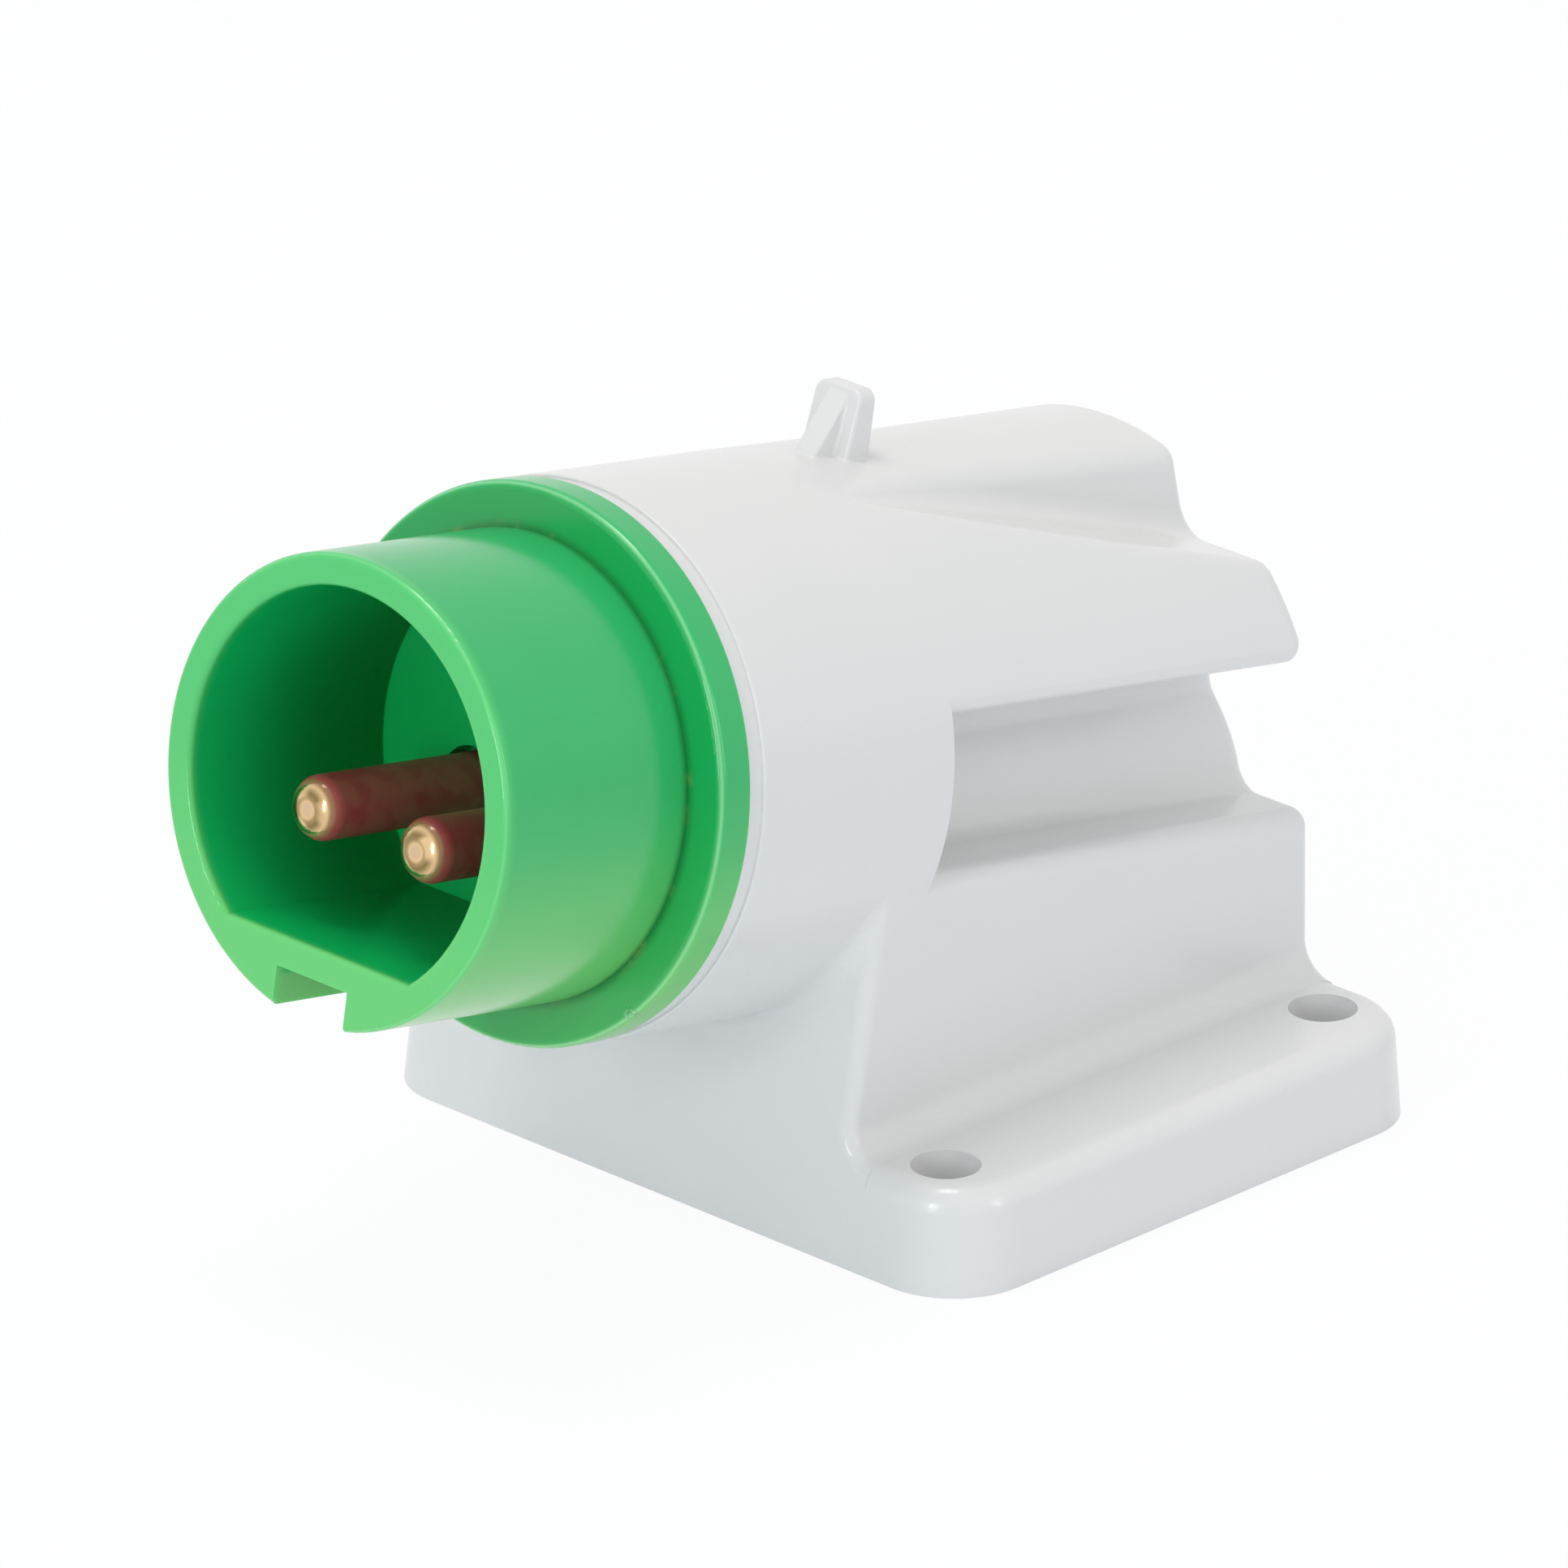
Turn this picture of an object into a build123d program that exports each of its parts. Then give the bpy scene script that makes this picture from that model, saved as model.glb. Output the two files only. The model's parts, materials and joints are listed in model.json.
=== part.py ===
from build123d import *
import os
from math import cos, hypot, radians, sin, sqrt, tan

# Angled wall inlet for an industrial pin-and-sleeve connector, two poles, extra-low voltage.
# The origin is the centre of the wall face of the base, +Z stands out from the wall and the
# mouth of the green shroud faces -Y. Lengths are in millimetres, angles in degrees.

# Base plate
base_width = 76.0
base_depth = 64.0
base_height = 10.0
base_corner = 8.0
base_top_round = 2.5
base_side_draft = 2.0
front_lean = 7.0
rear_lean = 4.0
hole_spacing_x = 60.0
hole_spacing_y = 50.0
hole_diameter = 6.5
ear_pocket_width = 7.5
ear_pocket_length = 9.5
ear_pocket_pitch = 11.0
ear_floor = 3.0

# Block under the barrel, and the wiring space that opens to the wall
block_inset = 2.7
block_side_lean = 2.9
block_edge_round = 1.4
block_foot_round = 2.8
opening_width = 40.0
opening_depth = 55.0
opening_corner = 3.0
opening_draft = 1.5

# Barrel: its seat is the plane where the collar of the insert meets the housing
barrel_diameter = 51.4
barrel_tilt = 10.0
barrel_joint_round = 2.5
seat_height = 47.0
seat_overhang = 14.1
wall = 2.6
lip_step = 0.3
lip_edge_round = 0.2
lip_length = 1.9

# Rear of the barrel: side recesses, cable-entry boss, central hump and its two valleys
recess_start = 26.5
wing_bottom = 7.7
wing_edge_round = 1.2
core_width = 24.4
recess_round = 1.5
boss_diameter = 31.6
boss_drop = 8.3
boss_round = 2.0
ledge_drop = 7.0
ledge_round = 2.0
hump_width = 14.4
hump_draft = 8.5
hump_flare = 1.5
valley_start = 22.5
valley_slope = 9.5
valley_round = 2.5
rear_round = 2.0

# Catch that holds the lid of the mating connector
catch_back = 34.8
catch_foot = 3.3
catch_tip = 2.0
catch_height = 6.3
catch_width = 5.8
catch_corner = 1.2
catch_edge_round = 0.35
catch_foot_round = 0.3
catch_rib_width = 2.6
catch_rib_reach = 3.3
catch_rib_step = 0.4

# Insert: shroud, collar, floor, skirt and the snap arms behind it
shroud_diameter = 43.0
shroud_wall = 3.0
shroud_length = 22.9
mouth_round = 0.6
collar_thickness = 3.6
collar_round = 0.8
cavity_depth = 24.5
floor_thickness = 6.0
key_flat_drop = 14.5
key_groove_width = 9.0
key_groove_drop = 17.3
skirt_length = 13.0
skirt_wall = 2.6
skirt_clearance = 0.3
snap_count = 4
snap_width = 8.0
snap_thickness = 1.3
snap_hook = 1.4
snap_hook_length = 2.2
snap_play = 0.3
snap_rib_length = 2.0

# Contact pins and their terminals: the dome's shares place the middle point of its arc
pin_diameter = 6.0
pin_pitch_radius = 8.0
pin_angle = 30.0
pin_recess = 4.0
pin_tip_flat = 1.8
pin_tip_length = 2.3
pin_dome_width = 0.78
pin_dome_drop = 0.3
pin_hole_clearance = 0.6
pin_hole_depth = 2.5
pin_root_diameter = 6.4
pin_guide_clearance = 0.05
pin_collar_diameter = 9.6
pin_collar_thickness = 1.5
terminal_diameter = 7.8
terminal_end = 31.5
wire_hole_diameter = 4.6
wire_hole_depth = 12.5
screw_setback = 5.1

# Terminal screws
terminal_screw_diameter = 4.0
terminal_head_diameter = 5.4
terminal_head_height = 2.2
terminal_head_lift = 0.3
terminal_screw_bite = 1.0
screw_head_round = 0.33
screw_slot_width = 0.9
screw_slot_depth = 1.0

# Contact carrier and its two screws
carrier_plate = 4.0
carrier_clearance = 0.3
sleeve_wall = 1.8
sleeve_clearance = 0.2
sleeve_wall_gap = 0.6
fin_overrun = 1.5
carrier_web = 3.0
carrier_fin = 1.6
carrier_fin_rise = 6.0
carrier_screw_x = 10.0
carrier_screw_y = 8.0
carrier_screw_diameter = 3.0
carrier_screw_reach = 4.6
carrier_head_diameter = 5.6
carrier_head_height = 2.1
screw_hole_clearance = 0.05
screw_hole_overrun = 0.2

# Seals and the cable-entry grommet
seal_land = 0.6
seal_width = 1.0
seal_thickness = 1.5
gasket_width = 2.0
gasket_thickness = 1.8
gasket_margin = 1.2
gasket_side_clearance = 0.05
entry_diameter = 20.5
grommet_clearance = 0.1
grommet_flange_diameter = 24.6
grommet_lip_diameter = 22.4
grommet_flange_thickness = 1.5
grommet_membrane = 1.0
grommet_steps = 3

# Tolerance for picking edges and corners by their place
near = 0.01

# Values worked out from the sizes above
far = 2.5 * max(base_width, base_depth)
barrel_radius = barrel_diameter / 2
bore_radius = barrel_radius - wall
lip_radius = barrel_radius - lip_step
block_width = barrel_diameter - 2 * block_inset
shroud_radius = shroud_diameter / 2
shroud_bore_radius = shroud_radius - shroud_wall
mouth = shroud_length + collar_thickness
floor_top = mouth - cavity_depth
floor_back = floor_top - floor_thickness
skirt_radius = bore_radius - skirt_clearance
skirt_bore_radius = skirt_radius - skirt_wall
pin_radius = pin_diameter / 2
pin_root_radius = pin_root_diameter / 2
pin_root_top = floor_top - pin_hole_depth
pin_x = pin_pitch_radius * cos(radians(pin_angle))
pin_y = -pin_pitch_radius * sin(radians(pin_angle))
pin_places = [(-pin_x, pin_y), (pin_x, pin_y)]
terminal_radius = terminal_diameter / 2
screw_depth = terminal_end - screw_setback
carrier_back = floor_back - carrier_plate
sleeve_bore_radius = terminal_radius + sleeve_clearance
sleeve_radius = sleeve_bore_radius + sleeve_wall
snap_inner_radius = skirt_bore_radius
snap_outer_radius = snap_inner_radius + snap_thickness
snap_rib_front = skirt_length + snap_play

seat = Plane(
    origin=(0, -base_depth / 2 - seat_overhang, seat_height),
    x_dir=(1, 0, 0),
    z_dir=(0, -cos(radians(barrel_tilt)), sin(radians(barrel_tilt))),
)
# Side view in the seat's frame: its x is the depth behind the seat, its y the height over the axis
seat_side = Plane(origin=seat.origin, x_dir=-seat.z_dir, z_dir=seat.x_dir)
front_face = Plane(
    origin=(0, -base_depth / 2, 0),
    x_dir=(1, 0, 0),
    z_dir=(0, -cos(radians(front_lean)), sin(radians(front_lean))),
)
rear_face = Plane(
    origin=(0, base_depth / 2, 0),
    x_dir=(1, 0, 0),
    z_dir=(0, cos(radians(rear_lean)), sin(radians(rear_lean))),
)


def boss_centre():
    """The point where the axis of the cable-entry boss meets the rear face."""
    start = seat.from_local_coords(Vector(0, -boss_drop, 0))
    direction = -seat.z_dir
    reach = (rear_face.origin - start).dot(rear_face.z_dir) / direction.dot(rear_face.z_dir)
    return start + direction * reach


def in_seat(point):
    """A point of the part, read in the frame of the seat."""
    return seat.to_local_coords(point)


def ring(outer, inner, start, length):
    """A tube along the seat's normal, from start forwards by length."""
    sketch = Circle(outer) - Circle(inner)
    return Pos(0, 0, start) * extrude(sketch, length)


# Housing

def rear_section(inset):
    """Cross-section of the rear barrel: wings under the top arc, a core and the entry boss."""
    top_arc = Circle(barrel_radius - inset)
    above_wings = Pos(0, wing_bottom + inset) * Rectangle(
        barrel_diameter, barrel_diameter, align=(Align.CENTER, Align.MIN)
    )
    core = Pos(0, wing_bottom + inset) * Rectangle(
        core_width - 2 * inset, wing_bottom + boss_drop + inset, align=(Align.CENTER, Align.MAX)
    )
    boss = Pos(0, -boss_drop) * Circle(boss_diameter / 2 - inset)
    return (top_arc & above_wings) + core + boss


def corners(sketch, x, y):
    """The two mirrored corners of a section that lie at x and y."""
    return [v for v in sketch.vertices() if abs(abs(v.X) - x) < near and abs(v.Y - y) < near]


def rounded_rear_section():
    """The outer rear section down to the ledge of the block, with its corners rounded."""
    boss_radius = boss_diameter / 2
    wing_x = sqrt(barrel_radius**2 - wing_bottom**2)
    boss_top = sqrt(boss_radius**2 - (core_width / 2) ** 2) - boss_drop
    boss_x = sqrt(boss_radius**2 - (boss_drop - ledge_drop) ** 2)
    ledge_half = boss_x + 1.5 * boss_round
    ledge = Pos(0, -ledge_drop) * Rectangle(
        2 * ledge_half, boss_round, align=(Align.CENTER, Align.MAX)
    )
    sketch = rear_section(0) + ledge
    sketch = fillet(corners(sketch, wing_x, wing_bottom), wing_edge_round)
    sketch = fillet(corners(sketch, core_width / 2, wing_bottom), recess_round)
    sketch = fillet(corners(sketch, core_width / 2, boss_top), boss_round)
    return fillet(corners(sketch, boss_x, -ledge_drop), boss_round)


def hump_top():
    """Height over the axis at which the flank of the hump leaves the round top."""
    return sqrt(barrel_radius**2 - (hump_width / 2) ** 2)


def valley(inset):
    """Cutter for the sloping valley on the +X side of the hump, which widens to the rear."""
    top = hump_top()
    half = hump_width / 2 - inset
    draft = tan(radians(hump_draft))
    slope = tan(radians(valley_slope))
    low = 0.2 * barrel_radius
    high = 1.6 * barrel_radius
    flank = [
        ((top - low) * draft, low),
        (barrel_diameter, low),
        (barrel_diameter, high),
        ((top - high) * draft, high),
    ]
    ahead = valley_start - barrel_radius
    lowered = inset / cos(radians(valley_slope))
    floor = [
        (ahead, top + barrel_radius * slope - lowered),
        (far, top - (far - valley_start) * slope - lowered),
        (far, high),
        (ahead, high + barrel_radius),
    ]
    turned = Pos(half, 0, -valley_start) * Rot(0, -hump_flare, 0) * Pos(0, 0, valley_start)
    side = seat * turned * extrude(make_face(Polyline(*flank, close=True)), -far)
    above = extrude(seat_side * make_face(Polyline(*floor, close=True)), far, both=True)
    return side & above


def block_half(height):
    """Half the width of the block at a height over the wall face: its sides lean outwards."""
    return block_width / 2 + (height - base_height) * tan(radians(block_side_lean))


def block():
    """The block that carries the barrel, flared at its foot and leaning at all four sides."""
    foot_x = block_half(base_height) + block_foot_round * tan(radians(45 - block_side_lean / 2))
    high = barrel_diameter
    outline = [
        (-block_half(high), high),
        (-block_half(base_height), base_height),
        (-2 * foot_x, base_height),
        (-2 * foot_x, 0),
        (2 * foot_x, 0),
        (2 * foot_x, base_height),
        (block_half(base_height), base_height),
        (block_half(high), high),
    ]
    section = make_face(Polyline(*outline, close=True))
    section = fillet(corners(section, block_half(base_height), base_height), block_foot_round)
    section &= Rectangle(2 * foot_x, 2 * high)
    solid = extrude(Plane.XZ * section, far, both=True)
    top = Plane(origin=seat.from_local_coords((0, -ledge_drop, 0)), z_dir=seat.y_dir)
    for face in (front_face, rear_face, top):
        solid = split(solid, bisect_by=face, keep=Keep.BOTTOM)
    solid = fillet(ledge_edges(solid), ledge_round)
    return fillet(front_upright_edges(solid), block_edge_round)


def catch():
    """Hooked plate with a gusset rib in front, standing on top of the barrel."""
    foot = barrel_radius - catch_corner
    tip = barrel_radius + catch_height
    plate_front = catch_back - catch_foot
    plate = [
        (plate_front, foot),
        (catch_back - catch_tip, tip),
        (catch_back, tip),
        (catch_back, foot),
    ]
    rib = [
        (plate_front - catch_rib_reach, foot),
        (catch_back - catch_tip, tip - catch_rib_step),
        (catch_back - catch_tip, foot),
    ]
    solid = extrude(seat_side * make_face(Polyline(*plate, close=True)), catch_width / 2, both=True)
    gusset = make_face(Polyline(*rib, close=True))
    top = solid.edges().filter_by(lambda e: in_seat(e.center()).Y > tip - near)
    solid = fillet([e for e in top if abs(e.center().X) > near], catch_corner)
    solid += extrude(seat_side * gusset, catch_rib_width / 2, both=True)
    standing = [e for e in solid.edges() if in_seat(e.center()).Y > foot + near]
    return fillet(standing, catch_edge_round)


def catch_foot_edges(solid):
    """The edges where the catch meets the top of the barrel."""
    rib_front = catch_back - catch_foot - catch_rib_reach
    found = []
    for edge in solid.edges():
        points = [in_seat(edge.position_at(t)) for t in (0.1, 0.5, 0.9)]
        on_barrel = all(abs(hypot(p.X, p.Y) - barrel_radius) < near for p in points)
        beside = abs(points[1].X) < catch_width / 2 + near
        if on_barrel and beside and rib_front < -points[1].Z < catch_back + near:
            found.append(edge)
    return found


def barrel():
    """The barrel with the block below it, the valleys cut and the outer edges rounded."""
    front = Pos(0, 0, -lip_length) * extrude(Circle(barrel_radius), lip_length - recess_start)
    front = fillet(front.edges().sort_by(Axis.Z)[-1], lip_edge_round)
    rear = Pos(0, 0, -recess_start) * extrude(rounded_rear_section(), -far)
    solid = seat * front + seat * rear + block()
    cutter = valley(0)
    solid = solid - cutter - mirror(cutter, about=Plane.YZ)
    solid = split(solid, bisect_by=rear_face, keep=Keep.BOTTOM).clean()
    solid = fillet(valley_edges(solid), valley_round)
    solid = fillet(rear_edges(solid), rear_round)
    return fillet(barrel_joint_edges(solid), barrel_joint_round)


def valley_edges(solid):
    """The three long edges of each valley: hump shoulder, foot and outer crest."""
    found = []
    for edge in solid.edges():
        middle = in_seat(edge.center())
        beside_hump = abs(middle.X) > hump_width / 2 and middle.Y > barrel_radius / 2
        if beside_hump and edge.length > recess_start:
            found.append(edge)
    return found


def ledge_edges(solid):
    """The outer edges of the block's top, below the side recesses."""
    found = []
    for edge in solid.edges().filter_by(GeomType.LINE):
        middle = edge.center()
        outer = abs(abs(middle.X) - block_half(middle.Z)) < near
        if outer and abs(in_seat(middle).Y + ledge_drop) < near and edge.length > base_height:
            found.append(edge)
    return found


def rear_edges(solid):
    """The outline of the rear face above the base plate."""
    faces = [f for f in solid.faces() if f.normal_at().dot(rear_face.z_dir) > 0.9999]
    outline = max(faces, key=lambda face: face.area).outer_wire()
    return [edge for edge in outline.edges() if edge.center().Z > base_height]


def front_upright_edges(solid):
    """The two upright edges at the front of the block, with the arcs at their feet."""
    found = []
    for edge in solid.edges():
        middle = edge.center()
        on_front = abs((middle - front_face.origin).dot(front_face.z_dir)) < near
        overhang = abs(middle.X) - block_half(middle.Z)
        if on_front and -near < overhang < block_foot_round - near and middle.Z > base_height:
            found.append(edge)
    return found


def barrel_joint_edges(solid):
    """The edges where the underside of the barrel meets the block, ahead of the recesses."""
    found = []
    for edge in solid.edges():
        points = [in_seat(edge.position_at(t)) for t in (0.1, 0.5, 0.9)]
        on_barrel = all(abs(hypot(p.X, p.Y) - barrel_radius) < near for p in points)
        ahead = -recess_start + near < points[1].Z < -lip_length - near
        if on_barrel and ahead and points[1].Y < 0:
            found.append(edge)
    return found


def base_plate():
    """Tapered base plate, its front and rear in line with those of the block."""
    front_run = base_height * tan(radians(front_lean))
    rear_run = base_height * tan(radians(rear_lean))
    side_run = base_height * tan(radians(base_side_draft))
    low = RectangleRounded(base_width, base_depth, base_corner)
    high = Pos(0, (front_run - rear_run) / 2, base_height) * RectangleRounded(
        base_width - 2 * side_run, base_depth - front_run - rear_run, base_corner
    )
    solid = loft([low.face(), high.face()], ruled=True)
    return fillet(solid.faces().sort_by(Axis.Z)[-1].edges(), base_top_round)


def front_cavity():
    """Bore of the barrel, and the space behind it inside the wings, core and boss."""
    bore = seat * Pos(0, 0, -recess_start + wall) * Cylinder(
        bore_radius, recess_start + wall, align=(Align.CENTER, Align.CENTER, Align.MIN)
    )
    rear = seat * Pos(0, 0, -recess_start + wall) * extrude(rear_section(wall), -far)
    cutter = valley(wall)
    rear = rear - cutter - mirror(cutter, about=Plane.YZ)
    inner_face = rear_face.offset(-wall)
    return bore + split(rear, bisect_by=inner_face, keep=Keep.BOTTOM)


def wall_cavity():
    """Wiring space that opens to the wall and runs up under the barrel."""
    opening = RectangleRounded(opening_width, opening_depth, opening_corner)
    solid = extrude(opening, seat_height, taper=opening_draft)
    roof = Plane(origin=seat.from_local_coords((0, -ledge_drop - wall, 0)), z_dir=seat.y_dir)
    return split(solid, bisect_by=roof, keep=Keep.BOTTOM)


def ear_pockets():
    """Coring pockets under the two ears of the base plate, between the fixing holes."""
    inner_x = block_width / 2 + wall
    pocket = Box(
        ear_pocket_width,
        ear_pocket_length,
        base_height - ear_floor,
        align=(Align.MIN, Align.CENTER, Align.MIN),
    )
    row = [Pos(inner_x, 0, 0) * place * pocket for place in GridLocations(0, ear_pocket_pitch, 1, 3)]
    return row + [mirror(each, about=Plane.YZ) for each in row]


def gasket_outline(growth):
    """Rounded outline around the wall opening, grown outwards from it."""
    return RectangleRounded(
        opening_width + 2 * growth, opening_depth + 2 * growth, opening_corner + growth
    )


def gasket_ring(clearance):
    """The gasket, or with no clearance its groove in the wall face."""
    outer = gasket_outline(gasket_margin + gasket_width - clearance)
    inner = gasket_outline(gasket_margin + clearance)
    return extrude(outer - inner, gasket_thickness)


def seal_ring():
    """Flat ring between the collar of the insert and the lip of the housing."""
    inner = bore_radius + seal_land
    return seat * ring(inner + seal_width, inner, -seal_thickness, seal_thickness)


def housing():
    """The moulded housing: base plate, block, barrel, catch and everything inside them."""
    solid = barrel() + base_plate()
    lip = seat * Pos(0, 0, -lip_length - wall) * Cylinder(
        lip_radius, lip_length + wall, align=(Align.CENTER, Align.CENTER, Align.MIN)
    )
    solid = solid + lip + catch()
    solid = fillet(catch_foot_edges(solid), catch_foot_round)
    solid = solid - front_cavity() - wall_cavity()
    rib_radius = snap_outer_radius + snap_play
    rib = ring(bore_radius + wall / 2, rib_radius, -snap_rib_front - snap_rib_length, snap_rib_length)
    solid = solid + seat * rib
    holes = Cylinder(hole_diameter / 2, 4 * base_height)
    solid = solid - [place * holes for place in GridLocations(hole_spacing_x, hole_spacing_y, 2, 2)]
    entry = Plane(origin=boss_centre(), z_dir=rear_face.z_dir) * Cylinder(entry_diameter / 2, 4 * wall)
    return solid - entry - ear_pockets() - gasket_ring(0) - seal_ring()


# Insert

def pin_holes():
    """Guide holes for the two pins, wider at the face of the floor."""
    guide = Cylinder(pin_root_radius + pin_guide_clearance, 4 * floor_thickness)
    mouth_hole = Pos(0, 0, pin_root_top) * Cylinder(
        pin_radius + pin_hole_clearance, cavity_depth, align=(Align.CENTER, Align.CENTER, Align.MIN)
    )
    return [Pos(x, y, 0) * hole for x, y in pin_places for hole in (guide, mouth_hole)]


def snap_arms():
    """Spring arms behind the skirt, hooked outwards behind the rib of the housing."""
    back = -snap_rib_front - snap_rib_length - snap_play
    hook_back = back - snap_hook_length
    hook_tip = snap_outer_radius + snap_hook
    profile = [
        (snap_inner_radius, -skirt_length + wall),
        (snap_outer_radius, -skirt_length + wall),
        (snap_outer_radius, back),
        (hook_tip, back),
        (hook_tip, back - snap_hook_length / 3),
        (snap_outer_radius, hook_back),
        (snap_inner_radius, hook_back),
    ]
    full = revolve(Plane.XZ * make_face(Polyline(*profile, close=True)), Axis.Z)
    slice_box = Box(far, snap_width, far, align=(Align.MIN, Align.CENTER, Align.CENTER))
    step = 360 / snap_count
    return [full & (Rot(0, 0, step * (i + 0.5)) * slice_box) for i in range(snap_count)]


def carrier_screw_places():
    """Places of the two screws that hold the carrier to the floor of the insert."""
    return [(-carrier_screw_x, carrier_screw_y), (carrier_screw_x, carrier_screw_y)]


def shroud_insert():
    """The green moulding: shroud with its keyway, collar, floor, skirt and snap arms."""
    cavity = mouth - floor_top
    solid = ring(shroud_radius, shroud_bore_radius, floor_top, cavity)
    bore = Circle(shroud_bore_radius + shroud_wall / 2)
    below = Pos(0, -key_flat_drop) * Rectangle(
        shroud_diameter, shroud_diameter, align=(Align.CENTER, Align.MAX)
    )
    solid += Pos(0, 0, floor_top) * extrude(bore & below, cavity)
    rim = solid.faces().sort_by(Axis.Z)[-1]
    solid = fillet(rim.edges(), mouth_round)
    groove = Pos(0, -key_groove_drop, collar_thickness) * Box(
        key_groove_width, shroud_diameter, far, align=(Align.CENTER, Align.MAX, Align.MIN)
    )
    solid -= groove
    collar = Cylinder(barrel_radius, collar_thickness, align=(Align.CENTER, Align.CENTER, Align.MIN))
    collar = fillet(collar.faces().sort_by(Axis.Z)[-1].edges(), collar_round)
    solid += collar - Cylinder(shroud_bore_radius, far)
    solid += Pos(0, 0, floor_back) * Cylinder(
        shroud_radius, floor_thickness, align=(Align.CENTER, Align.CENTER, Align.MIN)
    )
    solid += ring(skirt_radius, skirt_bore_radius, -skirt_length, skirt_length)
    solid += snap_arms()
    solid -= pin_holes()
    screw_hole = Cylinder(
        carrier_screw_diameter / 2 + screw_hole_clearance,
        carrier_screw_reach + screw_hole_overrun,
        align=(Align.CENTER, Align.CENTER, Align.MIN),
    )
    solid -= [Pos(x, y, floor_back) * screw_hole for x, y in carrier_screw_places()]
    return seat * solid


# Contacts

def contact_pin(x, y):
    """A turned brass pin: domed tip, trapped collar and a terminal bored for the wire."""
    tip = mouth - pin_recess
    flat = pin_tip_flat / 2
    shoulder = tip - pin_tip_length
    collar = pin_collar_diameter / 2
    dome = ThreePointArc(
        (flat, tip),
        (flat + pin_dome_width * (pin_radius - flat), tip - pin_dome_drop * pin_tip_length),
        (pin_radius, shoulder),
    )
    body = Polyline(
        (pin_radius, shoulder),
        (pin_radius, pin_root_top),
        (pin_root_radius, pin_root_top),
        (pin_root_radius, floor_back),
        (collar, floor_back),
        (collar, floor_back - pin_collar_thickness),
        (terminal_radius, floor_back - pin_collar_thickness),
        (terminal_radius, -terminal_end),
        (0, -terminal_end),
        (0, tip),
        (flat, tip),
    )
    solid = revolve(Plane.XZ * make_face(dome + body), Axis.Z)
    solid -= Pos(0, 0, -terminal_end) * Cylinder(
        wire_hole_diameter / 2, wire_hole_depth, align=(Align.CENTER, Align.CENTER, Align.MIN)
    )
    cross_hole = Pos(0, 0, -screw_depth) * Rot(90, 0, 0) * Cylinder(
        terminal_screw_diameter / 2 + screw_hole_clearance,
        2 * terminal_radius,
        align=(Align.CENTER, Align.CENTER, Align.MIN),
    )
    return seat * Pos(x, y, 0) * (solid - cross_hole)


def slotted_screw(diameter, length, head_diameter, head_height):
    """Cheese-head screw along +Z: the head stands on the origin, the shank runs down from it."""
    shank = Cylinder(diameter / 2, length, align=(Align.CENTER, Align.CENTER, Align.MAX))
    head = Cylinder(head_diameter / 2, head_height, align=(Align.CENTER, Align.CENTER, Align.MIN))
    head = fillet(head.faces().sort_by(Axis.Z)[-1].edges(), screw_head_round)
    slot = Pos(0, 0, head_height) * Box(head_diameter, screw_slot_width, 2 * screw_slot_depth)
    return shank + head - slot


def terminal_screws():
    """One clamping screw in each terminal, its head towards the open side of the housing."""
    seat_lift = terminal_radius + terminal_head_lift
    length = seat_lift - wire_hole_diameter / 2 + terminal_screw_bite
    screw = slotted_screw(
        terminal_screw_diameter, length, terminal_head_diameter, terminal_head_height
    )
    placed = [
        seat * Pos(x, y - seat_lift, -screw_depth) * Rot(90, 0, 0) * screw for x, y in pin_places
    ]
    return Compound(children=placed)


def contact_carrier():
    """Insulating carrier: plate behind the floor, a sleeve round each terminal and a fin between."""
    plate = Pos(0, 0, carrier_back) * Cylinder(
        skirt_bore_radius - carrier_clearance,
        carrier_plate,
        align=(Align.CENTER, Align.CENTER, Align.MIN),
    )
    depth = recess_start - wall - sleeve_wall_gap + carrier_back
    fin_depth = terminal_end + fin_overrun + carrier_back
    down = (Align.CENTER, Align.CENTER, Align.MAX)
    sleeve = Cylinder(sleeve_radius, depth, align=down)
    web = Box(2 * pin_x, carrier_web, depth, align=down)
    fin = Box(carrier_fin, 2 * sleeve_radius + carrier_fin_rise, fin_depth, align=down)
    solid = plate + [Pos(0, pin_y, carrier_back) * each for each in (web, fin)]
    solid += [Pos(x, y, carrier_back) * sleeve for x, y in pin_places]
    bore = Cylinder(sleeve_bore_radius, far)
    collar_seat = Pos(0, 0, floor_back - pin_collar_thickness) * Cylinder(
        pin_collar_diameter / 2 + sleeve_clearance,
        pin_collar_thickness,
        align=(Align.CENTER, Align.CENTER, Align.MIN),
    )
    for x, y in pin_places:
        solid -= [Pos(x, y, 0) * cutter for cutter in (bore, collar_seat)]
    hole = Cylinder(carrier_screw_diameter / 2 + screw_hole_clearance, far)
    solid -= [Pos(x, y, 0) * hole for x, y in carrier_screw_places()]
    return seat * solid


def carrier_screws():
    """Two screws through the carrier plate into the floor of the insert."""
    screw = slotted_screw(
        carrier_screw_diameter,
        carrier_plate + carrier_screw_reach,
        carrier_head_diameter,
        carrier_head_height,
    )
    placed = [
        seat * Pos(x, y, carrier_back) * Rot(180, 0, 0) * screw for x, y in carrier_screw_places()
    ]
    return Compound(children=placed)


# Cable entry

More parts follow.
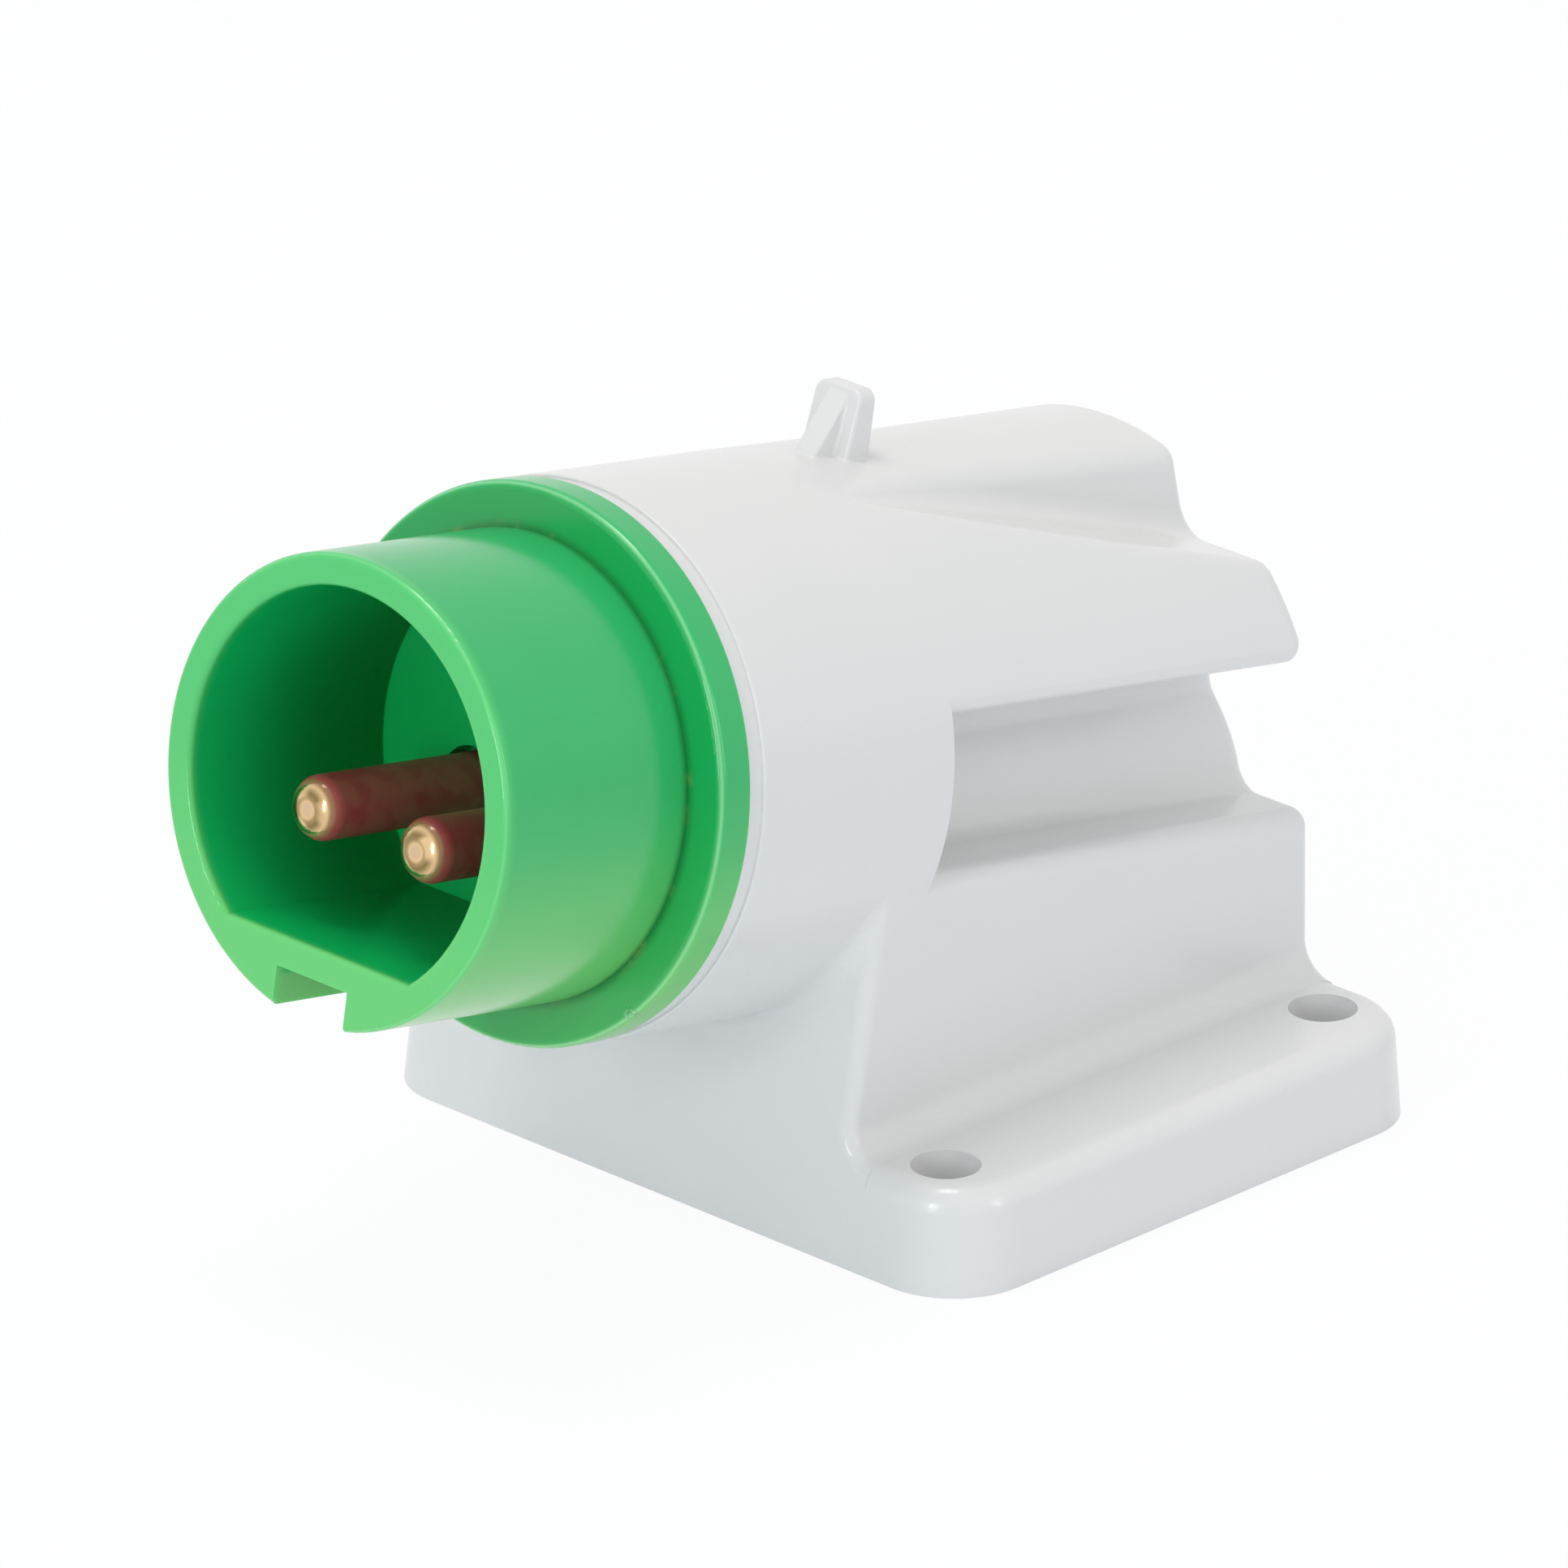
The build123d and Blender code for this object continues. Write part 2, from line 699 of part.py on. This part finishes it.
def entry_grommet():
    """Soft grommet snapped into the rear wall, with a stepped membrane to cut for the cable."""
    neck = entry_diameter / 2 - grommet_clearance
    flange = grommet_flange_diameter / 2
    lip = grommet_lip_diameter / 2
    out = grommet_flange_thickness
    groove = wall + grommet_clearance
    profile = [
        (0, 0),
        (0, out),
        (flange - out / 2, out),
        (flange, out / 2),
        (flange, grommet_clearance),
        (neck, grommet_clearance),
        (neck, -groove),
        (lip, -groove),
        (neck, -groove - out),
        (neck - out, -groove - out),
        (neck - out, 0),
    ]
    solid = revolve(Plane.XZ * make_face(Polyline(*profile, close=True)), Axis.Z)
    step = (neck - out) / (grommet_steps + 1)
    depth = (out - grommet_membrane) / grommet_steps
    for i in range(grommet_steps):
        solid -= Pos(0, 0, out - (i + 1) * depth) * Cylinder(
            neck - out - i * step, depth, align=(Align.CENTER, Align.CENTER, Align.MIN)
        )
    return Plane(origin=boss_centre(), z_dir=rear_face.z_dir) * solid


pieces = {
    "housing": housing(),
    "shroud_insert": shroud_insert(),
    "insert_seal": seal_ring(),
    "contact_carrier": contact_carrier(),
    "contact_pin_left": contact_pin(*pin_places[0]),
    "contact_pin_right": contact_pin(*pin_places[1]),
    "terminal_screws": terminal_screws(),
    "carrier_screws": carrier_screws(),
    "wall_gasket": gasket_ring(gasket_side_clearance),
    "entry_grommet": entry_grommet(),
}

os.makedirs("parts", exist_ok=True)
for name, piece in pieces.items():
    export_step(piece, f"parts/{name}.step")
    print(name, round(piece.volume, 1), "mm3")
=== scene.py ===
import json
from math import asin, cos, degrees, pi, radians, sin

import bpy
from mathutils import Euler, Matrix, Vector

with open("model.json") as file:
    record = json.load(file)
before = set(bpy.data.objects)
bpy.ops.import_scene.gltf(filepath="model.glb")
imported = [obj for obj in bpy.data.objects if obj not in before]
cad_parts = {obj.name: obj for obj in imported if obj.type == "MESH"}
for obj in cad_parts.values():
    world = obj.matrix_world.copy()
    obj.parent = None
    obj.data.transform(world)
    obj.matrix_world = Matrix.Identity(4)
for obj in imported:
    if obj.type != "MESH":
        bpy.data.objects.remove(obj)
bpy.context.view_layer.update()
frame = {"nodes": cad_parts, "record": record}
scene = bpy.context.scene
scene.view_settings.view_transform = "Standard"

# Camera. A long lens in front of the inlet, to its right and a little above it, as in the photo.
# Its place, turn and lens are those of the pinhole camera that fits the outlines of the inlet.

camera_place = (0.9617, -0.9883, 0.6070)
camera_azimuth = 44.67
camera_elevation = 22.67
focal_pixels = 20000.0
photo_pixels = 1932.0
sensor_width = 36.0
sight_limit = 50.0

camera = bpy.data.objects.new("camera", bpy.data.cameras.new("camera"))
camera.location = camera_place
camera.rotation_euler = Euler((radians(90 - camera_elevation), 0, radians(camera_azimuth)))
camera.data.sensor_width = sensor_width
camera.data.lens = focal_pixels / photo_pixels * sensor_width
camera.data.clip_end = sight_limit
scene.collection.objects.link(camera)
scene.camera = camera


# Floor and light. The inlet stands on a white table in a white room, lit by three soft lamps. What
# the camera sees, straight or by way of a gloss, is plain white. The table is open under the base,
# so that the wall face can be looked at from below.

white = (1.0, 1.0, 1.0, 1.0)
floor_half = 6.0
floor_gap = 0.0001
opening_half = (0.0350, 0.0297)
floor_colour = (0.85, 0.89, 0.95, 1.0)
floor_glow = 0.93
room_colour = (0.985, 0.99, 1.0, 1.0)
room_strength = 0.71
lamp_aim = (0.0, -0.02, 0.035)


def new_material(name):
    """An empty node material, its tree and its output node."""
    made = bpy.data.materials.new(name)
    made.use_nodes = True
    made.node_tree.nodes.clear()
    output = made.node_tree.nodes.new("ShaderNodeOutputMaterial")
    return made, made.node_tree, output


def add(tree, kind, inputs=None, **settings):
    """One node, with its settings and with the values or links of its inputs."""
    node = tree.nodes.new(kind)
    for key, value in settings.items():
        setattr(node, key, value)
    for key, value in (inputs or {}).items():
        if isinstance(value, bpy.types.NodeSocket):
            tree.links.new(value, node.inputs[key])
        else:
            node.inputs[key].default_value = value
    return node


def compute(tree, operation, first, second=0.0):
    """One step of arithmetic on two values."""
    return add(tree, "ShaderNodeMath", {0: first, 1: second}, operation=operation).outputs[0]


def camera_sees(tree):
    """1 for rays of the camera and for what a gloss or a lens shows it, 0 for all other light."""
    path = add(tree, "ShaderNodeLightPath").outputs
    direct = compute(tree, "MAXIMUM", path["Is Camera Ray"], path["Is Glossy Ray"])
    return compute(tree, "MAXIMUM", direct, path["Is Transmission Ray"])


def floor_material():
    """Pale and matt to the lamps, and nearly all plain white to the camera, so its shadows stay."""
    made, tree, output = new_material("table")
    matt = add(tree, "ShaderNodeBsdfDiffuse", {"Color": floor_colour})
    glow = add(tree, "ShaderNodeEmission", {"Color": white, "Strength": 1.0})
    share = compute(tree, "MULTIPLY", camera_sees(tree), floor_glow)
    mixed = add(tree, "ShaderNodeMixShader", {0: share, 1: matt.outputs[0], 2: glow.outputs[0]})
    tree.links.new(mixed.outputs[0], output.inputs["Surface"])
    return made


corner_signs = ((-1, -1), (1, -1), (1, 1), (-1, 1))
outer = [(floor_half * x, floor_half * y, -floor_gap) for x, y in corner_signs]
inner = [(opening_half[0] * x, opening_half[1] * y, -floor_gap) for x, y in corner_signs]
strips = [(i, (i + 1) % 4, 4 + (i + 1) % 4, 4 + i) for i in range(4)]
floor_mesh = bpy.data.meshes.new("floor")
floor_mesh.from_pydata(outer + inner, [], strips)
floor_mesh.materials.append(floor_material())
floor = bpy.data.objects.new("floor", floor_mesh)
scene.collection.objects.link(floor)

room = bpy.data.worlds.new("room")
room.use_nodes = True
room_tree = room.node_tree
room_tree.nodes.clear()
dim = add(room_tree, "ShaderNodeBackground", {"Color": room_colour, "Strength": room_strength})
bright = add(room_tree, "ShaderNodeBackground", {"Color": white, "Strength": 1.0})
room_light = add(room_tree, "ShaderNodeMixShader", {
    0: camera_sees(room_tree), 1: dim.outputs[0], 2: bright.outputs[0]})
add(room_tree, "ShaderNodeOutputWorld", {"Surface": room_light.outputs[0]})
scene.world = room


def soft_lamp(name, place, size, watts, colour):
    """An area lamp, size wide and high, that faces the middle of the inlet."""
    lamp = bpy.data.objects.new(name, bpy.data.lights.new(name, "AREA"))
    lamp.data.shape = "RECTANGLE"
    lamp.data.size, lamp.data.size_y = size
    lamp.data.energy = watts
    lamp.data.color = colour
    lamp.location = place
    aim = Vector(lamp_aim) - Vector(place)
    lamp.rotation_euler = aim.to_track_quat("-Z", "Y").to_euler()
    scene.collection.objects.link(lamp)


soft_lamp("lamp_over", place=(-0.15, -0.10, 1.00), size=(0.30, 0.30), watts=2.3, colour=(1.0, 0.98, 0.94))
soft_lamp("lamp_right", place=(1.05, 0.10, 0.42), size=(0.05, 0.60), watts=1.25, colour=(1.0, 0.985, 0.96))
soft_lamp("lamp_front", place=(0.20, -1.0, 0.35), size=(0.07, 0.40), watts=2.1, colour=(0.88, 0.945, 1.0))


# Housing. One moulding in light grey thermoplastic: the flanged base, the block and the tipped
# barrel. Its mould was spark-eroded, which leaves a fine satin grain on every side. Four screws
# through the base fix it to the wall.

housing_grey = (0.765, 0.765, 0.755, 1.0)
housing_shade = (0.735, 0.738, 0.735, 1.0)


def principled(tree, output, **inputs):
    """The main shader of a material, joined to its output. Its inputs are named with underscores."""
    named = {key.replace("_", " "): value for key, value in inputs.items()}
    shader = add(tree, "ShaderNodeBsdfPrincipled", named)
    tree.links.new(shader.outputs[0], output.inputs["Surface"])
    return shader


def noise(tree, per_metre, detail, **inputs):
    """Noise in Object coordinates, with so many grains to the metre."""
    place = add(tree, "ShaderNodeTexCoord").outputs["Object"]
    return add(tree, "ShaderNodeTexNoise", {
        "Vector": place, "Scale": per_metre, "Detail": detail, **inputs}).outputs[0]


def grain(tree, per_metre, height):
    """The bump of a fine moulded grain."""
    return add(tree, "ShaderNodeBump", {
        "Height": noise(tree, per_metre, detail=2.0, Roughness=0.55),
        "Strength": 0.5, "Distance": height}).outputs[0]


def tint(tree, first, second, mask, share=1.0):
    """The second colour laid over the first where the mask is 1, and at most in this share."""
    if share < 1.0:
        mask = compute(tree, "MULTIPLY", mask, share)
    return add(tree, "ShaderNodeMixRGB", {"Fac": mask, "Color1": first, "Color2": second}).outputs[0]


def mottle(tree, low, high, per_metre):
    """A slow drift between two colours over the surface, as in any moulding."""
    return tint(tree, low, high, noise(tree, per_metre, detail=3.0))


def grained_finish(name, low, high, drift, grains, height, **gloss):
    """A finish that drifts between two colours under a fine grain, both in grains to the metre."""
    made, tree, output = new_material(name)
    shader = principled(tree, output, **gloss)
    tree.links.new(mottle(tree, low, high, drift), shader.inputs["Base Color"])
    tree.links.new(grain(tree, grains, height), shader.inputs["Normal"])
    return made


def dress(material, *nodes):
    """Gives CAD nodes their material."""
    for node in nodes:
        slots = frame["nodes"][node].data.materials
        slots.clear()
        slots.append(material)


dress(grained_finish("housing_plastic", housing_shade, housing_grey,
                     drift=60.0, grains=2600.0, height=0.00003, Roughness=0.21, IOR=1.5),
      "housing")


# Shroud insert. One moulding in green thermoplastic, snapped into the barrel from the front. Light
# enters it a little way. Its colour holds painted light: its lower side is painted paler for light
# from the table, its rim a painted glow, and the rounded edges of mouth and collar painted
# highlights. The collar face, the root of the shroud and the bore carry painted shade, and the bore
# a deeper green. Dust sits in the root of the shroud, and the gate has left a small nick on the
# lower edge of the collar.

green = (0.034, 0.495, 0.150, 1.0)
green_shade = (0.028, 0.465, 0.135, 1.0)
green_low_painted_bounce = (0.215, 0.620, 0.165, 1.0)
green_rim_painted_glow = (0.120, 0.680, 0.190, 1.0)
green_painted_highlight_and_nick = (0.420, 0.880, 0.480, 1.0)
green_collar_painted_shade = (0.004, 0.400, 0.085, 1.0)
bore_floor_painted_bounce = (0.008, 0.540, 0.125, 1.0)
bore_painted_mouth_light = (0.006, 0.560, 0.145, 1.0)
bore_painted_shade = (0.004, 0.250, 0.045, 1.0)
root_painted_shade = (0.012, 0.260, 0.050, 1.0)
root_dust = (0.160, 0.380, 0.090, 1.0)
bounce_share = 0.75
rim_glow_share = 0.6
highlight_share = 0.55
collar_shade_share = 0.8
root_shade_share = 0.8

millimetre = 0.001
mounts = {mount["name"]: mount for mount in frame["record"]["mounts"]}
shroud_mount = mounts["shroud_outside"]
mouth_axis = Vector(shroud_mount["axis"])
barrel_tilt = degrees(asin(mouth_axis.z))
seat_to_shroud_middle = 0.01505
seat_centre = Vector(shroud_mount["pos_m"]) - seat_to_shroud_middle * mouth_axis
shroud_radius = shroud_mount["dims"]["r_mm"] * millimetre
shroud_wall = 0.0030
bore_radius = shroud_radius - shroud_wall
collar_radius = 0.0257
collar_front = 0.0036
mouth_front = 0.0265
floor_front = 0.0020
edge_round = 0.0003
low_start = 0.35 * shroud_radius
low_end = -0.85 * shroud_radius
wall_fade = 0.0005
disc_fade = 0.0002
rim_glow_fade = 0.0016
face_fade = 0.0003
highlight_fade = 0.00028
root_fade = 0.0010
nick_turn = -46.0
nick_radius = 0.0012
nick_core = 0.3 * nick_radius
nick_depth = 0.0003


def seat_coordinates(tree):
    """Object coordinates from the seat of the insert, with Z out of the mouth along the barrel."""
    place = add(tree, "ShaderNodeTexCoord").outputs["Object"]
    return add(tree, "ShaderNodeMapping", {
        "Vector": place,
        "Location": seat_centre,
        "Rotation": (radians(90 - barrel_tilt), 0, 0),
    }, vector_type="TEXTURE").outputs[0]


def about_axis(tree):
    """Distance from the axis of the barrel, and the three coordinates from the seat."""
    place = seat_coordinates(tree)
    flat = add(tree, "ShaderNodeVectorMath", {0: place, 1: (1.0, 1.0, 0.0)}, operation="MULTIPLY")
    radius = add(tree, "ShaderNodeVectorMath", {0: flat.outputs[0]}, operation="LENGTH")
    return radius.outputs["Value"], add(tree, "ShaderNodeSeparateXYZ", {0: place}).outputs


def ramp(tree, value, start, end):
    """0 where a value is at the start, 1 at the end, and smooth between."""
    return add(tree, "ShaderNodeMapRange", {"Value": value, "From Min": start, "From Max": end},
               interpolation_type="SMOOTHSTEP").outputs[0]


def band(tree, value, middle, width):
    """1 where a value is in the middle of a band, and smoothly 0 at the band's edges."""
    away = compute(tree, "ABSOLUTE", compute(tree, "SUBTRACT", value, middle))
    return ramp(tree, away, start=width, end=0.0)


def line_round(tree, radius, axial, line_radius, line_front, width):
    """1 on a line round the barrel, at a radius and at a distance in front of the seat."""
    return compute(tree, "MULTIPLY",
                   band(tree, radius, line_radius, width), band(tree, axial, line_front, width))


def nick_mask(tree):
    """1 on a small torn patch on the lower edge of the collar, and 0 elsewhere."""
    turn = radians(nick_turn)
    middle = (collar_radius * cos(turn), collar_radius * sin(turn), collar_front)
    away = add(tree, "ShaderNodeVectorMath", {0: seat_coordinates(tree), 1: middle}, operation="DISTANCE")
    near = ramp(tree, away.outputs["Value"], start=nick_radius, end=nick_core)
    torn = ramp(tree, noise(tree, per_metre=1800.0, detail=2.0), start=0.42, end=0.62)
    return compute(tree, "MULTIPLY", near, torn)


def painted_bore_shade(tree, axial):
    """Painted light and shade in the bore: a deep green painted on its floor for light bounced between
    green walls, and a wall painted darker from the mouth to the floor.
    """
    depth = ramp(tree, axial, start=collar_front, end=mouth_front)
    wall = tint(tree, bore_painted_shade, bore_painted_mouth_light, depth)
    disc = ramp(tree, axial, start=floor_front + disc_fade, end=floor_front)
    return tint(tree, wall, bore_floor_painted_bounce, disc)


def insert_material():
    """Green plastic with painted light: a paler lower side, painted shade on the collar face, root and
    bore, a painted glow on the rim and painted highlights on the edges.
    """
    made, tree, output = new_material("insert_plastic")
    radius, place = about_axis(tree)
    axial = place["Z"]
    colour = mottle(tree, green_shade, green, per_metre=90.0)
    # Painted light: the lower side is painted paler and yellower, for the light that the table bounces up
    # onto it.
    colour = tint(tree, colour, green_low_painted_bounce, ramp(tree, place["Y"], low_start, low_end), bounce_share)
    # Painted shade: the front face of the collar is painted darker and a deeper green.
    colour = tint(tree, colour, green_collar_painted_shade, band(tree, axial, collar_front, face_fade), collar_shade_share)

    # Painted shade: a dark line is painted round the root of the shroud, where the collar meets it. Real
    # dust specks sit in the same line.
    root = line_round(tree, radius, axial, shroud_radius, collar_front, root_fade)
    colour = tint(tree, colour, root_painted_shade, root, root_shade_share)
    specks = ramp(tree, noise(tree, per_metre=380.0, detail=2.0), start=0.50, end=0.80)
    colour = tint(tree, colour, root_dust, compute(tree, "MULTIPLY", specks, root))

    # Painted light and shade inside the bore: its wall is painted darker from the mouth to the floor, and
    # its floor a deeper green.
    inside = ramp(tree, radius, start=bore_radius + wall_fade, end=bore_radius)
    behind = ramp(tree, axial, start=mouth_front - face_fade, end=mouth_front - 3 * face_fade)
    colour = tint(tree, colour, painted_bore_shade(tree, axial), compute(tree, "MULTIPLY", inside, behind))

    # Painted glow: the rim round the mouth is painted a lighter green.
    colour = tint(tree, colour, green_rim_painted_glow, band(tree, axial, mouth_front, rim_glow_fade), rim_glow_share)
    # Painted highlights: pale lines are painted on the rounded outer edges of the mouth and the collar.
    for edge_radius, edge_front in ((shroud_radius, mouth_front), (collar_radius, collar_front)):
        edge = line_round(tree, radius, axial, edge_radius - edge_round, edge_front - edge_round, highlight_fade)
        colour = tint(tree, colour, green_painted_highlight_and_nick, edge, highlight_share)
    # The nick is a real mark, tinted in the same pale green as the painted highlights.
    nick = nick_mask(tree)
    colour = tint(tree, colour, green_painted_highlight_and_nick, nick)

    shader = principled(tree, output, Roughness=0.19, IOR=1.48, Subsurface_Weight=0.25,
                        Subsurface_Radius=(0.35, 1.0, 0.40), Subsurface_Scale=0.0015)
    bump = add(tree, "ShaderNodeBump", {
        "Height": nick, "Strength": 1.0, "Distance": nick_depth,
        "Normal": grain(tree, per_metre=3000.0, height=0.00002)})
    tree.links.new(colour, shader.inputs["Base Color"])
    tree.links.new(bump.outputs[0], shader.inputs["Normal"])
    return made


dress(insert_material(), "shroud_insert")


# Contact pins. Turned from brass rod, with fine rings left by the tool on the domed tip and a mark
# at its centre. The tip is polished by use, and the shank keeps a dull brown skin of oxide. A cloudy
# ring of painted dark reflection lies on the tip. Each pin is trapped by its collar between the
# floor of the insert and the carrier.

brass = (0.82, 0.58, 0.31, 1.0)
brass_painted_reflection_and_outline = (0.21, 0.155, 0.058, 1.0)
brass_mark = (0.60, 0.45, 0.34, 1.0)
brass_edge = (0.38, 0.19, 0.085, 1.0)
oxide = (0.420, 0.085, 0.078, 1.0)
oxide_deep = (0.400, 0.052, 0.062, 1.0)
reflection_share = 0.9
outline_share = 0.35
mark_share = 0.5
edge_dullness = 0.85
shank_roughness = 0.42
tip_roughness = 0.15

pin_mount = mounts["right_pin"]
pin_middle = Vector(pin_mount["pos_m"]) - seat_centre
across_barrel = Vector((0, mouth_axis.z, -mouth_axis.y))
pin_side = pin_middle.x
pin_rise = pin_middle.dot(across_barrel)
pin_shoulder = pin_middle.dot(mouth_axis) + pin_mount["dims"]["length_mm"] * millimetre / 2
pin_radius = pin_mount["dims"]["r_mm"] * millimetre
skin_past_shoulder = 0.0015
skin_end = pin_shoulder + skin_past_shoulder
skin_fade = 0.0002
edge_start = 0.70 * pin_radius
edge_end = 0.84 * pin_radius
reflection_radius = 0.5 * pin_radius
reflection_width = 0.3 * pin_radius
mark_radius = 0.0008
mark_fade = 0.0003
ring_pitch = 0.00022
ring_height = 0.000004


def about_pin(tree):
    """Distance from the axis of the nearer pin, and the place along it: the two mirror in X."""
    place = add(tree, "ShaderNodeSeparateXYZ", {0: seat_coordinates(tree)}).outputs
    side = compute(tree, "SUBTRACT", compute(tree, "ABSOLUTE", place["X"]), pin_side)
    rise = compute(tree, "SUBTRACT", place["Y"], pin_rise)
    flat = add(tree, "ShaderNodeCombineXYZ", {0: side, 1: rise}).outputs[0]
    radius = add(tree, "ShaderNodeVectorMath", {0: flat}, operation="LENGTH").outputs["Value"]
    return radius, place["Z"]


def tip_colour(tree, radius, cloud, edge):
    """Brass with a ring of painted dark reflection, an outlined mark at the centre, and a darker edge."""
    # Painted reflection: a cloudy dark ring is painted on the polished tip. The outline of the mark uses
    # the same dark colour.
    ring = band(tree, radius, reflection_radius, reflection_width)
    painted_reflection = compute(tree, "MULTIPLY", ring, ramp(tree, cloud, start=0.42, end=0.60))
    outline = band(tree, radius, mark_radius + mark_fade, mark_fade)
    mark = ramp(tree, radius, start=mark_radius, end=mark_radius - mark_fade)
    colour = tint(tree, brass, brass_painted_reflection_and_outline, painted_reflection, reflection_share)
    colour = tint(tree, colour, brass_painted_reflection_and_outline, outline, outline_share)
    colour = tint(tree, colour, brass_mark, mark, mark_share)
    return tint(tree, colour, brass_edge, edge)


def pin_material():
    """Bare metal on the tip, and oxide from just past the shoulder back to the floor."""
    made, tree, output = new_material("pin_brass")
    radius, axial = about_pin(tree)
    cloud = noise(tree, per_metre=380.0, detail=1.0, Distortion=0.4)
    edge = ramp(tree, radius, edge_start, edge_end)
    uneven = compute(tree, "ADD", axial, compute(tree, "MULTIPLY", cloud, skin_fade))
    polished = ramp(tree, uneven, start=skin_end - skin_fade, end=skin_end + skin_fade)
    shank = tint(tree, oxide, oxide_deep, ramp(tree, cloud, start=0.40, end=0.62))
    colour = tint(tree, shank, tip_colour(tree, radius, cloud, edge), polished)

    bare = compute(tree, "SUBTRACT", 1.0, compute(tree, "MULTIPLY", edge, edge_dullness))
    roughness = add(tree, "ShaderNodeMapRange", {
        "Value": polished, "To Min": shank_roughness, "To Max": tip_roughness})
    rings = compute(tree, "SINE", compute(tree, "MULTIPLY", radius, 2 * pi / ring_pitch))
    turned = add(tree, "ShaderNodeBump", {
        "Height": rings, "Strength": 0.25, "Distance": ring_height,
        "Normal": grain(tree, per_metre=4000.0, height=0.000003)})

    shader = principled(tree, output, IOR=1.5)
    tree.links.new(colour, shader.inputs["Base Color"])
    tree.links.new(compute(tree, "MULTIPLY", polished, bare), shader.inputs["Metallic"])
    tree.links.new(roughness.outputs[0], shader.inputs["Roughness"])
    tree.links.new(turned.outputs[0], shader.inputs["Normal"])
    return made


dress(pin_material(), "contact_pin_left", "contact_pin_right")


# Contact carrier. Moulded in black glass-filled polyamide, with the dull surface that the glass
# fibres leave. Two screws hold it behind the floor of the insert, so it shows only from the wall.

carrier_black = (0.022, 0.022, 0.024, 1.0)
carrier_grey = (0.040, 0.040, 0.042, 1.0)

dress(grained_finish("carrier_polyamide", carrier_black, carrier_grey,
                     drift=900.0, grains=5000.0, height=0.00004, Roughness=0.55, IOR=1.5),
      "contact_carrier")


# Screws. Cheese-head screws of zinc-plated steel, headed cold from wire. Two clamp the wires in
# the terminals, and two hold the carrier to the insert.

zinc = (0.66, 0.67, 0.68, 1.0)
zinc_cloud = (0.52, 0.53, 0.55, 1.0)

dress(grained_finish("screw_zinc", zinc_cloud, zinc,
                     drift=1200.0, grains=6000.0, height=0.00002, Metallic=1.0, Roughness=0.32),
      "terminal_screws", "carrier_screws")


# Seals. Black rubber: a flat ring behind the collar of the insert, and a gasket pressed into the
# groove of the wall face.

rubber_black = (0.018, 0.018, 0.019, 1.0)
rubber_bloom = (0.045, 0.045, 0.046, 1.0)

dress(grained_finish("seal_rubber", rubber_black, rubber_bloom,
                     drift=500.0, grains=3500.0, height=0.00003, Roughness=0.72, IOR=1.5),
      "insert_seal", "wall_gasket")


# Entry grommet. Soft grey elastomer, snapped into the hole of the rear wall. Its membrane is cut
# along one of the steps to suit the cable.

grommet_grey = (0.115, 0.120, 0.125, 1.0)
grommet_dark = (0.090, 0.094, 0.100, 1.0)

dress(grained_finish("grommet_elastomer", grommet_dark, grommet_grey,
                     drift=300.0, grains=3500.0, height=0.00003, Roughness=0.6, IOR=1.5),
      "entry_grommet")
